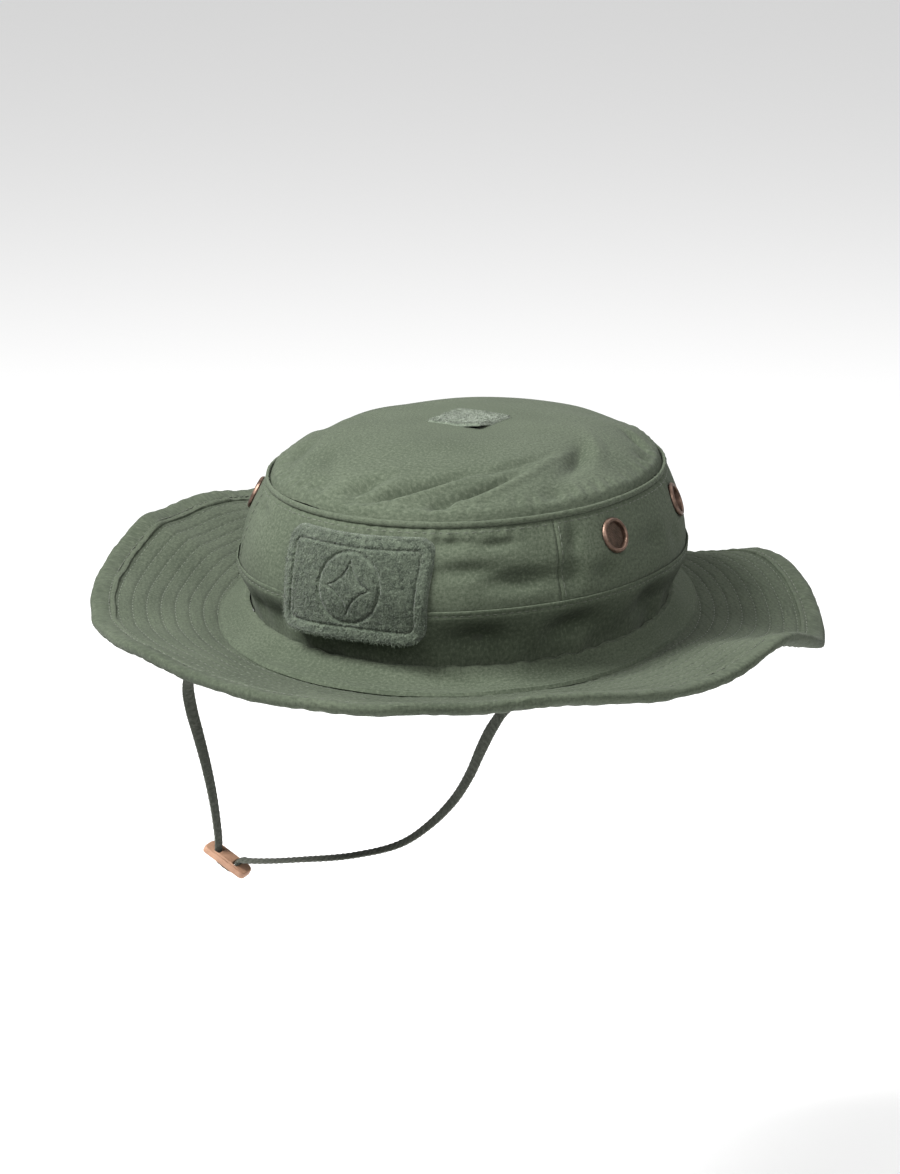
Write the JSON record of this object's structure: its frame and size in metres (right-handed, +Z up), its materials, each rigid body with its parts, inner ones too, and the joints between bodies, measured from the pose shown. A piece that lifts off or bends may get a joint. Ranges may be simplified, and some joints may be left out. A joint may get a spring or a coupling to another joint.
{
  "type": "boonie hat",
  "caption": "Soft wide-brimmed cloth hat with a stitched wavy brim, side vents, front and top loop patches and a flat chin cord with a leather keeper.",
  "frame": {"origin": "centre of the head opening, in the plane of the seam between crown and brim", "axes": "+Z up through the crown, -Y to the front of the hat, +X to its wearer's left"},
  "size_m": [0.298, 0.33, 0.1938],
  "materials": {
    "crown_cloth": "matte woven cotton blend, faded grey green",
    "brim_cloth": "matte woven cotton blend, grey green, quilted by stitch rows",
    "lining_cloth": "matte lining cloth, dark green",
    "loop_pile": "fuzzy loop pile, grey green",
    "cord_braid": "flat braided nylon, grey green",
    "keeper_leather": "undyed tan leather, raw edge",
    "eyelet_brass": "antique brass, satin",
    "vent_screen": "dark wire screen",
    "label": "woven label, blank"
  },
  "bodies": {
    "hat": {"crown_top_panel": "crown_cloth", "top_seam_welt": "crown_cloth", "side_band_front": "crown_cloth", "side_band_left": "crown_cloth", "side_band_back": "crown_cloth", "side_band_right": "crown_cloth", "lower_band": "crown_cloth", "band_seam_tape": "lining_cloth", "base_ring": "crown_cloth", "brim_top_ply": "brim_cloth", "brim_interlining": "lining_cloth", "brim_under_ply": "brim_cloth", "brim_edge_binding": "brim_cloth", "sweatband": "lining_cloth", "size_label": "label", "vent_eyelet_left_front": "eyelet_brass", "vent_eyelet_left_back": "eyelet_brass", "vent_eyelet_right_front": "eyelet_brass", "vent_eyelet_right_back": "eyelet_brass", "vent_washer_left_front": "eyelet_brass", "vent_washer_left_back": "eyelet_brass", "vent_washer_right_front": "eyelet_brass", "vent_washer_right_back": "eyelet_brass", "vent_screen_left_front": "vent_screen", "vent_screen_left_back": "vent_screen", "vent_screen_right_front": "vent_screen", "vent_screen_right_back": "vent_screen", "front_loop_patch": "loop_pile", "top_loop_patch": "loop_pile", "cord_anchor_right": "cord_braid", "cord_anchor_left": "cord_braid"},
    "cord_loop": {"chin_cord": "cord_braid"},
    "keeper": {"cord_keeper": "keeper_leather"}
  },
  "joints": [
    {"name": "chin_cord_swing", "type": "hinge", "parent": "hat", "child": "cord_loop", "pos_m": [0, -0.053, -0.005], "axis": [1, 0, 0], "range_deg": [-60, 60]},
    {"name": "keeper_slide", "type": "slide", "parent": "cord_loop", "child": "keeper", "axis": [-0.16, 0, 0.9871], "range_m": [0, 0.03], "deforming": ["chin_cord"]}
  ]
}
